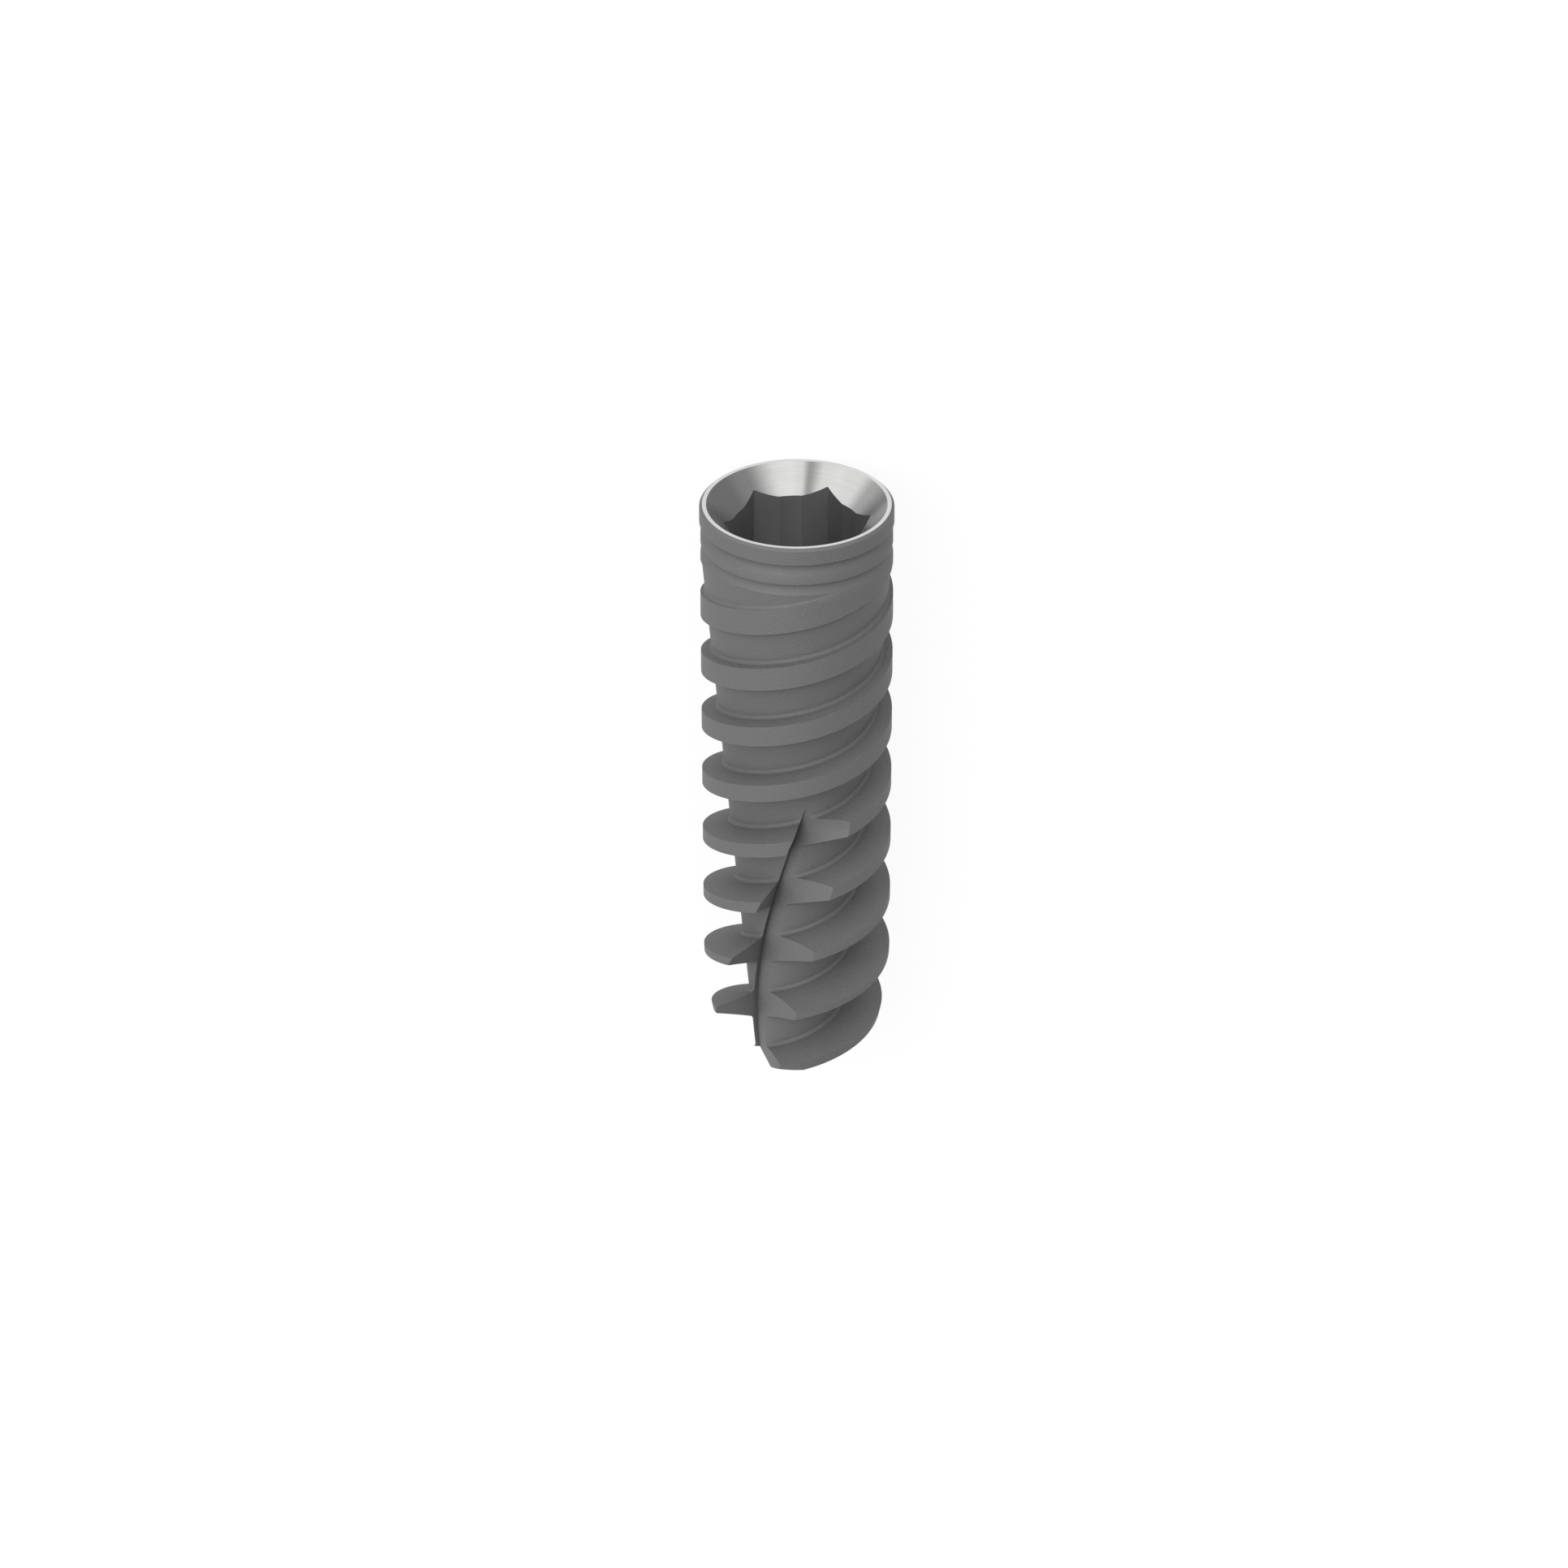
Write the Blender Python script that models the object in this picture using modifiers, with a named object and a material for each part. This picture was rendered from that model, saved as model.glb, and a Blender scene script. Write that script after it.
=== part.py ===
"""A tapered titanium dental implant, machined from one bar.

It has a polished platform rim, a hexagonal socket over a screw bore, two fine grooves round the
neck, a double thread whose crests narrow towards the tip, and two spiral cutting flutes.

The implant is modelled upright, its platform at z = 0 and its tip at z = -LENGTH, and is then
laid on its side, as it comes to rest: its axis along X, its platform towards +X. Units are metres.
"""

import math

import bmesh
import bpy
from mathutils import Vector

MM = 0.001

# Overall length, from the platform to the flat end of the tip
LENGTH = 12.0 * MM

# Collar, which stands out a little over the thread crests, and its flat, polished rim
COLLAR_STEP = 0.025 * MM
COLLAR_HEIGHT = 0.35 * MM
COLLAR_CHAMFER = 0.054 * MM
RIM_WIDTH = 0.08 * MM

# Two fine saw-tooth grooves round the neck, under the collar
FINE_GROOVES = 2
FINE_GROOVE_HEIGHT = 0.255 * MM
FINE_GROOVE_DEPTH = 0.055 * MM
FINE_RING_HEIGHT = 0.19 * MM

# Outer form that the thread crests lie on. Heights at the tip are measured up from its end.
CREST_DIAMETER = 3.75 * MM
CREST_STRAIGHT_TO = 2.2 * MM
CREST_TAPER = math.radians(0.5)
TIP_ARC_HEIGHT = 2.5 * MM
TIP_ARC_RADIUS = 7.7 * MM
TIP_CHAMFER_HEIGHT = 0.25 * MM
TIP_FLAT_DIAMETER = 2.0 * MM

# Tapered core between the threads. It widens up to the crests under the neck, where the thread fades.
CORE_TIP_DIAMETER = 1.60 * MM
CORE_MEETS_CRESTS_AT = 0.94 * MM

# Double right-hand thread. Its crest narrows evenly, from the platform to a knife edge at the tip.
THREAD_STARTS = 2
THREAD_LEAD = 2.532 * MM
THREAD_CREST_AT_PLATFORM = 0.637 * MM
THREAD_FLANK = math.radians(15)
THREAD_ROOT_FILLET = 0.085 * MM
THREAD_CREST_DEPTH = 0.903 * MM
THREAD_CREST_AT_ANGLE = math.radians(180)

# Cutting flutes: V-shaped channels that run up from the tip, each lofted through three sections:
# one at its start, one halfway and one at the tip. The first angles place the bottom of the V, the
# others give the directions in which its cutting wall and its back wall leave the bottom.
FLUTES = 2
FLUTE_LENGTH = 6.02 * MM
FLUTE_BELOW_CORE = 0.08 * MM
FLUTE_BOTTOM_ANGLES = (math.radians(277.4), math.radians(234.1), math.radians(181.5))
FLUTE_CUTTING_ANGLES = (math.radians(-9.6), math.radians(-45.9), math.radians(-75.9))
FLUTE_BACK_ANGLES = (math.radians(-94.0), math.radians(-131.9), math.radians(-180.0))

# Hexagonal socket, its 45 degree lead-in and the round relief that is cut into its flats
HEX_ACROSS_FLATS = 2.5 * MM
HEX_DEPTH = 2.2 * MM
HEX_CORNER_ANGLE = math.radians(5.4)
RELIEF_INTO_FLATS = 0.015 * MM
RELIEF_DEPTH = 1.35 * MM

# Screw bore under the socket, at its tapping size
BORE_DIAMETER = 1.5 * MM
BORE_DEPTH = 6.2 * MM
BORE_COUNTERSINK = 0.25 * MM
DRILL_POINT = math.radians(118)

# Fineness of the round forms
BODY_SIDES = 40
SOCKET_SIDES = 60
FILLET_SEGMENTS = 3
FINE_GROOVE_SEGMENTS = 3
TIP_ARC_SEGMENTS = 5
FLUTE_SECTIONS = 22

# Amount by which a cutter runs past the surface that it cuts, and by which its crests stand proud
OVERRUN = 0.1 * MM
CREST_OVERRUN = 0.025 * MM
# Points on the axis that are nearer together than this become one
MERGE = 0.0001 * MM
# Edges that turn by more than this are drawn sharp
SHARP_EDGE = math.radians(28)

CREST_RADIUS = CREST_DIAMETER / 2
COLLAR_RADIUS = CREST_RADIUS + COLLAR_STEP
RIM_OUTER_RADIUS = COLLAR_RADIUS - COLLAR_CHAMFER
RIM_INNER_RADIUS = RIM_OUTER_RADIUS - RIM_WIDTH
CORE_TAPER = math.atan((CREST_RADIUS - CORE_TIP_DIAMETER / 2) / (LENGTH - CORE_MEETS_CRESTS_AT))
TIP_ARC_FROM = LENGTH - TIP_ARC_HEIGHT
FLUTE_FROM = LENGTH - FLUTE_LENGTH
STEP_ANGLE = 2 * math.pi / BODY_SIDES
# A flat of the many-sided body faces down, so that it lies still
FIRST_ANGLE = STEP_ANGLE / 2
RESTING_HEIGHT = COLLAR_RADIUS * math.cos(STEP_ANGLE / 2)


def clear_scene():
    for obj in list(bpy.data.objects):
        bpy.data.objects.remove(obj)


def new_collection(name):
    collection = bpy.data.collections.new(name)
    bpy.context.scene.collection.children.link(collection)
    return collection


def titanium():
    material = bpy.data.materials.new("blasted_titanium")
    material.use_nodes = True
    shader = material.node_tree.nodes["Principled BSDF"]
    shader.inputs["Base Color"].default_value = (0.28, 0.28, 0.285, 1.0)
    shader.inputs["Metallic"].default_value = 0.9
    shader.inputs["Roughness"].default_value = 0.55
    return material


def mesh_object(name, mesh, collection):
    obj = bpy.data.objects.new(name, mesh)
    collection.objects.link(obj)
    return obj


def turned(name, profile, sides, first_angle, collection):
    """A solid of revolution about Z from (radius, height) points, listed from top to bottom."""
    across = Vector((math.cos(first_angle), math.sin(first_angle), 0))
    form = bmesh.new()
    points = [form.verts.new(across * radius + Vector((0, 0, height))) for radius, height in profile]
    for upper, lower in zip(points, points[1:]):
        form.edges.new((upper, lower))
    mesh = bpy.data.meshes.new(name)
    form.to_mesh(mesh)
    form.free()
    obj = mesh_object(name, mesh, collection)
    screw = obj.modifiers.new("turn", "SCREW")
    screw.steps = sides
    screw.render_steps = sides
    screw.use_merge_vertices = True
    screw.merge_threshold = MERGE
    return obj


def as_cutter(obj):
    obj.hide_render = True
    obj.display_type = "WIRE"
    return obj


def boolean(obj, operation, other):
    modifier = obj.modifiers.new(other.name, "BOOLEAN")
    modifier.operation = operation
    modifier.solver = "EXACT"
    modifier.object = other


def arc_points(centre, radius, first, last, segments):
    """Points on an arc in the (radius, depth) plane, both ends included."""
    angles = [first + (last - first) * step / segments for step in range(segments + 1)]
    return [(centre[0] + radius * math.cos(a), centre[1] + radius * math.sin(a)) for a in angles]


def core_radius(depth):
    return CORE_TIP_DIAMETER / 2 + (LENGTH - depth) * math.tan(CORE_TAPER)


def crest_radius(depth):
    """Radius that the thread crests lie on, above the rounding of the tip."""
    return CREST_RADIUS - max(0.0, depth - CREST_STRAIGHT_TO) * math.tan(CREST_TAPER)


def fine_groove(top):
    """One groove as (radius, depth): a square undercut, then a hollow that flares out again."""
    rise = math.atan2(FINE_GROOVE_DEPTH, FINE_GROOVE_HEIGHT)
    sweep = 2 * rise
    radius = FINE_GROOVE_HEIGHT / math.sin(sweep)
    centre = (CREST_RADIUS - FINE_GROOVE_DEPTH + radius, top)
    return arc_points(centre, radius, math.pi, math.pi - sweep, FINE_GROOVE_SEGMENTS)


def tip_arc():
    """The rounding of the tip as (radius, depth), tangent to the tapered crests."""
    start = (crest_radius(TIP_ARC_FROM), TIP_ARC_FROM)
    centre = (
        start[0] - TIP_ARC_RADIUS * math.cos(CREST_TAPER),
        start[1] - TIP_ARC_RADIUS * math.sin(CREST_TAPER),
    )
    end_sine = (LENGTH - TIP_CHAMFER_HEIGHT - centre[1]) / TIP_ARC_RADIUS
    return arc_points(centre, TIP_ARC_RADIUS, CREST_TAPER, math.asin(end_sine), TIP_ARC_SEGMENTS)


def blank_profile():
    """The turned blank as (radius, height), from the platform's centre to the tip's."""
    outline = [
        (0, 0),
        (RIM_OUTER_RADIUS, 0),
        (COLLAR_RADIUS, COLLAR_CHAMFER),
        (COLLAR_RADIUS, COLLAR_HEIGHT),
    ]
    top = COLLAR_HEIGHT
    for _ in range(FINE_GROOVES):
        outline += fine_groove(top)
        top += FINE_GROOVE_HEIGHT + FINE_RING_HEIGHT
        outline.append((CREST_RADIUS, top))
    # The last ring runs on as the cylinder of the first crests
    outline[-1] = (CREST_RADIUS, CREST_STRAIGHT_TO)
    outline += tip_arc()
    outline += [(TIP_FLAT_DIAMETER / 2, LENGTH), (0, LENGTH)]
    return [(radius, -depth) for radius, depth in outline]


def rounded_corner(corner, toward_first, toward_last, radius, segments):
    """Points of a fillet at a corner of the (radius, depth) plane, between two unit directions."""
    half = toward_first.angle(toward_last) / 2
    centre = corner + (toward_first + toward_last).normalized() * radius / math.sin(half)
    first = corner + toward_first * radius / math.tan(half) - centre
    last = corner + toward_last * radius / math.tan(half) - centre
    points = []
    for step in range(segments + 1):
        spoke = first.lerp(last, step / segments).normalized()
        points.append(centre + spoke * radius)
    return points


def crest_half_width(depth):
    """Half of the crest's width, at the crest's full radius."""
    return THREAD_CREST_AT_PLATFORM / 2 * (1 - min(depth, LENGTH) / LENGTH)


def thread_tooth(depth):
    """One thread's section as (radius, depth) points from above it to below it, its crest at depth.

    The crest stands past the blank, which cuts it to its true radius.
    """
    outer = max(crest_radius(depth) + CREST_OVERRUN, core_radius(depth) + OVERRUN)
    half = crest_half_width(depth)
    slope = math.tan(THREAD_FLANK)
    outward = Vector((1, slope)).normalized()
    core_slope = math.tan(CORE_TAPER)
    down_core = Vector((-core_slope, 1)).normalized()

    def corner(side):
        # Where the flank's line meets the core's line
        flank_at_axis = depth + side * (half + slope * CREST_RADIUS)
        tip_radius = core_radius(0)
        meet = (tip_radius - core_slope * flank_at_axis) / (1 - side * slope * core_slope)
        return Vector((meet, flank_at_axis - side * slope * meet))

    above = rounded_corner(corner(-1), -down_core, outward, THREAD_ROOT_FILLET, FILLET_SEGMENTS)
    below = rounded_corner(
        corner(1), Vector((outward.x, -outward.y)), down_core, THREAD_ROOT_FILLET, FILLET_SEGMENTS
    )
    top = Vector((outer, depth - half + slope * (outer - CREST_RADIUS)))
    bottom = Vector((outer, depth + half - slope * (outer - CREST_RADIUS)))
    return above + [top, bottom] + below


def thread_form(collection):
    """A long screw with endless double thread, which the blank is cut down to."""
    per_turn = BODY_SIDES
    pitch = THREAD_LEAD / THREAD_STARTS
    # Columns lie midway between the blank's corners, so that no edges of the two coincide. The crest
    # line at the first column is moved up by whole turns, until a turn lies above the blank.
    first_column = 2 * math.pi
    turns_up = (first_column - THREAD_CREST_AT_ANGLE) / (2 * math.pi)
    first_depth = THREAD_CREST_DEPTH - turns_up * THREAD_LEAD
    while first_depth + THREAD_LEAD + pitch > -OVERRUN:
        first_depth -= THREAD_LEAD
    columns = math.ceil((LENGTH + THREAD_LEAD - first_depth) / THREAD_LEAD * per_turn)

    form = bmesh.new()
    rows = []
    for column in range(columns + 1):
        angle = first_column - column * STEP_ANGLE
        across = Vector((math.cos(angle), math.sin(angle), 0))
        depth = first_depth + THREAD_LEAD * column / per_turn
        section = []
        for start in range(THREAD_STARTS):
            section += thread_tooth(depth + start * pitch)
        rows.append([form.verts.new(across * p.x + Vector((0, 0, -p.y))) for p in section])
    for column, row in enumerate(rows):
        following = column + per_turn
        if following < len(rows):
            row.append(rows[following][0])
    last_depth = first_depth + THREAD_LEAD * (columns / per_turn + 1)
    for column in range(columns - per_turn + 1, columns + 1):
        angle = first_column - column * STEP_ANGLE
        across = Vector((math.cos(angle), math.sin(angle), 0))
        depth = first_depth + THREAD_LEAD * (column / per_turn + 1)
        ending = thread_tooth(depth)[0]
        rows[column].append(form.verts.new(across * ending.x + Vector((0, 0, -ending.y))))

    for left, right in zip(rows, rows[1:]):
        for upper in range(len(left) - 1):
            form.faces.new((left[upper], left[upper + 1], right[upper + 1], right[upper]))
    top = form.verts.new((0, 0, -first_depth))
    for left, right in zip(rows[:per_turn], rows[1 : per_turn + 1]):
        form.faces.new((top, left[0], right[0]))
    form.faces.new([top] + rows[0][::-1])
    bottom = form.verts.new((0, 0, -last_depth))
    for left, right in zip(rows[-per_turn - 1 :], rows[-per_turn:]):
        form.faces.new((bottom, right[-1], left[-1]))
    form.faces.new([bottom] + rows[-1])
    bmesh.ops.triangulate(form, faces=form.faces)
    bmesh.ops.recalc_face_normals(form, faces=form.faces)
    mesh = bpy.data.meshes.new("thread_form")
    form.to_mesh(mesh)
    form.free()
    return as_cutter(mesh_object("thread_form", mesh, collection))


def through_three(values, share):
    """The parabola through three even stations, at a share of the way."""
    first, middle, last = values
    return (
        first * (1 - share) * (1 - 2 * share)
        + 4 * middle * share * (1 - share)
        + last * share * (2 * share - 1)
    )


def direction(angle):
    return Vector((math.cos(angle), math.sin(angle)))


def flute_section(depth):
    """The V at one depth: its bottom, the ends of its two walls and the far corner between them."""
    share = max(0.0, (depth - FLUTE_FROM) / (LENGTH - FLUTE_FROM))
    # The bottom follows the core, and leaves it at 45 degrees where the flute starts
    radius = max(core_radius(depth) - FLUTE_BELOW_CORE, core_radius(FLUTE_FROM) + FLUTE_FROM - depth)
    bottom = direction(through_three(FLUTE_BOTTOM_ANGLES, share)) * radius
    cutting = direction(through_three(FLUTE_CUTTING_ANGLES, share)) * CREST_DIAMETER
    back = direction(through_three(FLUTE_BACK_ANGLES, share)) * CREST_DIAMETER
    return [bottom, bottom + cutting, bottom + cutting + back, bottom + back]


def flute_form():
    """The solid that one flute takes away, lofted from its start down past the tip."""
    top = FLUTE_FROM - (crest_radius(FLUTE_FROM) - core_radius(FLUTE_FROM)) - OVERRUN
    bottom = LENGTH + OVERRUN
    form = bmesh.new()
    sections = []
    for step in range(FLUTE_SECTIONS + 1):
        depth = top + (bottom - top) * step / FLUTE_SECTIONS
        sections.append([form.verts.new((p.x, p.y, -depth)) for p in flute_section(depth)])
    for upper, lower in zip(sections, sections[1:]):
        for corner in range(len(upper)):
            following = (corner + 1) % len(upper)
            form.faces.new((upper[corner], upper[following], lower[following], lower[corner]))
    form.faces.new(sections[0])
    form.faces.new(sections[-1])
    bmesh.ops.triangulate(form, faces=form.faces)
    bmesh.ops.recalc_face_normals(form, faces=form.faces)
    mesh = bpy.data.meshes.new("flute_form")
    form.to_mesh(mesh)
    form.free()
    return mesh


def flute_cutters(collection):
    mesh = flute_form()
    cutters = []
    for number in range(FLUTES):
        cutter = as_cutter(mesh_object(f"flute_{number + 1}", mesh, collection))
        cutter.rotation_euler.z = number * 2 * math.pi / FLUTES
        cutters.append(cutter)
    return cutters


def socket_profile():
    """Lead-in, round relief and screw bore as (radius, height), from top to bottom."""
    relief = HEX_ACROSS_FLATS / 2 + RELIEF_INTO_FLATS
    bore = BORE_DIAMETER / 2
    countersink = bore + BORE_COUNTERSINK
    outline = [
        (0, -OVERRUN),
        (RIM_INNER_RADIUS + OVERRUN, -OVERRUN),
        (relief, RIM_INNER_RADIUS - relief),
        (relief, RELIEF_DEPTH),
        (countersink, RELIEF_DEPTH + relief - countersink),
        (countersink, HEX_DEPTH),
        (bore, HEX_DEPTH + BORE_COUNTERSINK),
        (bore, BORE_DEPTH),
        (0, BORE_DEPTH + bore / math.tan(DRILL_POINT / 2)),
    ]
    return [(radius, -depth) for radius, depth in outline]


def hexagon_cutter(collection):
    across_corners = HEX_ACROSS_FLATS / math.cos(math.pi / 6)
    height = HEX_DEPTH + OVERRUN
    form = bmesh.new()
    bmesh.ops.create_cone(
        form,
        cap_ends=True,
        segments=6,
        radius1=across_corners / 2,
        radius2=across_corners / 2,
        depth=height,
    )
    mesh = bpy.data.meshes.new("socket_hexagon")
    form.to_mesh(mesh)
    form.free()
    cutter = as_cutter(mesh_object("socket_hexagon", mesh, collection))
    cutter.location.z = OVERRUN - height / 2
    # The primitive's first corner lies on Y
    cutter.rotation_euler.z = HEX_CORNER_ANGLE - math.pi / 2
    return cutter


def cut_out(body):
    """Makes the turned and cut body a mesh of its own, shaded smooth between its sharp edges."""
    graph = bpy.context.evaluated_depsgraph_get()
    mesh = bpy.data.meshes.new_from_object(body.evaluated_get(graph))
    mesh.name = body.name
    mesh.materials.clear()
    mesh.materials.append(titanium())
    mesh.shade_smooth()
    mesh.set_sharp_from_angle(angle=SHARP_EDGE)
    body.modifiers.clear()
    body.data = mesh


def laid_down(objects, collection):
    """Turns the upright implant onto its side: its axis to +X, its right-hand side to -Y."""
    rest = bpy.data.objects.new("lying_on_its_side", None)
    collection.objects.link(rest)
    rest.location = (LENGTH / 2, 0, RESTING_HEIGHT)
    rest.rotation_euler = (-math.pi / 2, 0, -math.pi / 2)
    for obj in objects:
        obj.parent = rest


def main():
    clear_scene()
    implant = new_collection("dental_implant")
    cutters = new_collection("cutters")
    body = turned("implant_body", blank_profile(), BODY_SIDES, FIRST_ANGLE, implant)
    thread = thread_form(cutters)
    flutes = flute_cutters(cutters)
    bore = as_cutter(turned("socket_bore", socket_profile(), SOCKET_SIDES, 0, cutters))
    hexagon = hexagon_cutter(cutters)
    boolean(body, "INTERSECT", thread)
    for cutter in flutes + [bore, hexagon]:
        boolean(body, "DIFFERENCE", cutter)
    cut_out(body)
    laid_down([body, thread, bore, hexagon] + flutes, implant)


main()
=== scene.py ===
"""The looks of a titanium dental implant, lying on a white table.

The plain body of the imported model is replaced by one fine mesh, made the way the real implant is
machined: a turned blank is cut down to a double thread, fluted, socketed, bored and tapped. Its
outside is grit-blasted, and its platform, lead-in cone and socket are bare metal.

The implant is made upright, its platform at z = 0 and its tip below, and is then laid down as the
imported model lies: its axis along X, its platform towards +X. Units are metres.
"""

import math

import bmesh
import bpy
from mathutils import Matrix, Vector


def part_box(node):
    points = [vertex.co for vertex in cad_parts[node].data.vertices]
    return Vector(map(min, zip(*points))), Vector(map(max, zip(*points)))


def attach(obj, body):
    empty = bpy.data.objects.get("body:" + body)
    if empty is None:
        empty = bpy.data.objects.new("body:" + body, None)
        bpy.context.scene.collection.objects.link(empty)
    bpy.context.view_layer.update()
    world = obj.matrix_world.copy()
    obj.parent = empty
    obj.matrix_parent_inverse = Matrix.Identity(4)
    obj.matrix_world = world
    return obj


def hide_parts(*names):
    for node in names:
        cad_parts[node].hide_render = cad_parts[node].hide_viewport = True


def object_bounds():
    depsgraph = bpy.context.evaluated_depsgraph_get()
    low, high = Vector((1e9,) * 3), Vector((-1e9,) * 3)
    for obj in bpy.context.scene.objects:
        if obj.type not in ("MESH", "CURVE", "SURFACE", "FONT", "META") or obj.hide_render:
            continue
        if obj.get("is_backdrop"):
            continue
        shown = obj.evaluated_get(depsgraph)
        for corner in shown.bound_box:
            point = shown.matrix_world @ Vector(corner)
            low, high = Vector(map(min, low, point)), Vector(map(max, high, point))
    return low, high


bl_info = {
    "name": "Titanium Dental Implant",
    "version": (1, 0, 0),
    "blender": (4, 5, 0),
    "location": "View3D > Sidebar > Implant",
    "description": "Machines a tapered dental implant and sets it in a white studio",
    "category": "Add Mesh",
}

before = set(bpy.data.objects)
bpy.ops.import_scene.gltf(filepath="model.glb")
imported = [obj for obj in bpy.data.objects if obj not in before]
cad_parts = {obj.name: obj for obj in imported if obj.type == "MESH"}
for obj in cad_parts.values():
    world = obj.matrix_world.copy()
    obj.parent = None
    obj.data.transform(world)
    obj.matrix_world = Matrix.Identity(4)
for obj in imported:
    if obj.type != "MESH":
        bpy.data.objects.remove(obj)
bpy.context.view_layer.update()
BODY_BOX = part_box("implant_body")

MM = 0.001
BODY_MIDDLE = (BODY_BOX[0] + BODY_BOX[1]) / 2
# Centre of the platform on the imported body
PLATFORM = Vector((BODY_BOX[1].x, BODY_MIDDLE.y, BODY_MIDDLE.z))

# Points nearer together than this become one
MERGE = 0.0001 * MM
# Amount by which a cutter runs past the surface that it cuts
OVERRUN = 0.1 * MM
SLIGHT_OVERRUN = OVERRUN / 10
# Amount by which the thread's crests stand past the blank that cuts them
CREST_OVERRUN = OVERRUN / 4
# Length of a flute's walls, as a share of the crest diameter
WALL_REACH = 0.6
# How far off the lead-in cone the middle of one of its faces may lie
CONE_REACH = MERGE * 20
# Turn between two faces from which their edge is sharp
SHARP_ANGLE = math.radians(28)
# Range that most of a noise lies in
NOISE_RANGE = (0.3, 0.7)


def length(name, description, default):
    return bpy.props.FloatProperty(
        name=name, description=description, default=default, unit="LENGTH", precision=5
    )


def angle(name, description, default):
    return bpy.props.FloatProperty(
        name=name, description=description, default=math.radians(default), subtype="ANGLE"
    )


def count(name, description, default):
    return bpy.props.IntProperty(name=name, description=description, default=default, min=1)


def share(name, description, default):
    return bpy.props.FloatProperty(
        name=name, description=description, default=default, min=0.0, max=1.0, subtype="FACTOR"
    )


def colour(name, description, default):
    return bpy.props.FloatVectorProperty(
        name=name,
        description=description,
        default=default,
        size=4,
        min=0.0,
        max=1.0,
        subtype="COLOR",
    )


def towards(name, description, default):
    return bpy.props.FloatVectorProperty(
        name=name, description=description, default=default, size=3, subtype="XYZ"
    )


class ImplantBlank(bpy.types.PropertyGroup):
    """Sizes of the turned blank: collar, neck grooves, crests and tip."""

    length: length(
        "Length", "From the platform to the flat end of the tip", BODY_BOX[1].x - BODY_BOX[0].x
    )
    collar_step: length(
        "Collar step", "How far the collar stands out from the first crests", 0.025 * MM
    )
    collar_height: length("Collar height", "From the platform to the first neck groove", 0.35 * MM)
    collar_chamfer: length(
        "Collar chamfer", "Width of the 45 degree edge outside the rim", 0.054 * MM
    )
    rim_width: length("Rim width", "Width of the flat ring that an abutment lands on", 0.08 * MM)
    grooves: count("Neck grooves", "Number of fine grooves under the collar", 2)
    groove_height: length("Groove height", "Height of one neck groove", 0.255 * MM)
    groove_depth: length("Groove depth", "Depth of a neck groove's undercut", 0.055 * MM)
    ring_height: length("Ring height", "Height of the ring under a neck groove", 0.19 * MM)
    crest_diameter: length("Crest diameter", "Across the first thread crests", 3.75 * MM)
    crest_straight_to: length("Straight to", "Depth down to which the crests don't taper", 2.2 * MM)
    crest_taper: angle("Crest taper", "Slope of the crests below that", 0.5)
    tip_arc_height: length(
        "Tip arc height", "Height above the end at which the tip starts to round", 2.5 * MM
    )
    tip_arc_radius: length(
        "Tip arc radius", "Radius of the tip's rounding, seen from the side", 7.7 * MM
    )
    tip_chamfer_height: length("Tip chamfer", "Height of the cone round the flat end", 0.25 * MM)
    tip_flat_diameter: length("Tip flat", "Across the flat end", 2.0 * MM)
    sides: count("Sides", "Steps in one turn of the outside", 224)


class ImplantThread(bpy.types.PropertyGroup):
    """Sizes of the tapered core and of the double thread on it."""

    core_tip_diameter: length("Core at the tip", "Across the core at the end of the tip", 1.60 * MM)
    core_meets_crests: length(
        "Core meets crests", "Depth at which the core is as wide as the crests", 0.94 * MM
    )
    starts: count("Starts", "Number of threads that run side by side", 2)
    lead: length("Lead", "Height that one thread climbs in a turn", 2.532 * MM)
    crest_width: length(
        "Crest width", "Width of a crest at the platform, which narrows to the tip", 0.637 * MM
    )
    flank: angle("Flank", "Lean of the thread's sides", 15)
    root_fillet: length("Root fillet", "Radius where a side meets the core", 0.085 * MM)
    crest_depth: length("Crest depth", "Depth of a crest at the crest angle", 0.903 * MM)
    crest_angle: angle("Crest angle", "Angle round the axis at which a crest has that depth", 180)
    fillet_segments: count("Fillet segments", "Steps in a root fillet", 6)


class ImplantFlutes(bpy.types.PropertyGroup):
    """Sizes of the V-shaped cutting flutes, by sections at their start, halfway and at the tip."""

    number: count("Flutes", "Number of flutes round the tip", 2)
    height: length("Flute length", "Height above the end at which the flutes start", 6.02 * MM)
    below_core: length("Below core", "Depth of a flute's bottom under the core", 0.08 * MM)
    run_in: share("Run-in", "Slope at which a flute's bottom goes down into the core", 0.3)
    bottom_start: angle(
        "Bottom, start", "Angle round the axis of the V's bottom at its start", 277.4
    )
    bottom_middle: angle("Bottom, middle", "Angle round the axis of the V's bottom halfway", 234.1)
    bottom_end: angle("Bottom, end", "Angle round the axis of the V's bottom at the tip", 181.5)
    cutting_start: angle(
        "Cutting wall, start", "Direction of the cutting wall at the flute's start", -9.6
    )
    cutting_middle: angle("Cutting wall, middle", "Direction of the cutting wall halfway", -45.9)
    cutting_end: angle("Cutting wall, end", "Direction of the cutting wall at the tip", -75.9)
    back_start: angle("Back wall, start", "Direction of the back wall at the flute's start", -94.0)
    back_middle: angle("Back wall, middle", "Direction of the back wall halfway", -131.9)
    back_end: angle("Back wall, end", "Direction of the back wall at the tip", -180.0)
    sections: count("Sections", "Steps along a flute", 90)
    steps: count("Steps", "Steps across each wall of a flute", 14)


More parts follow.
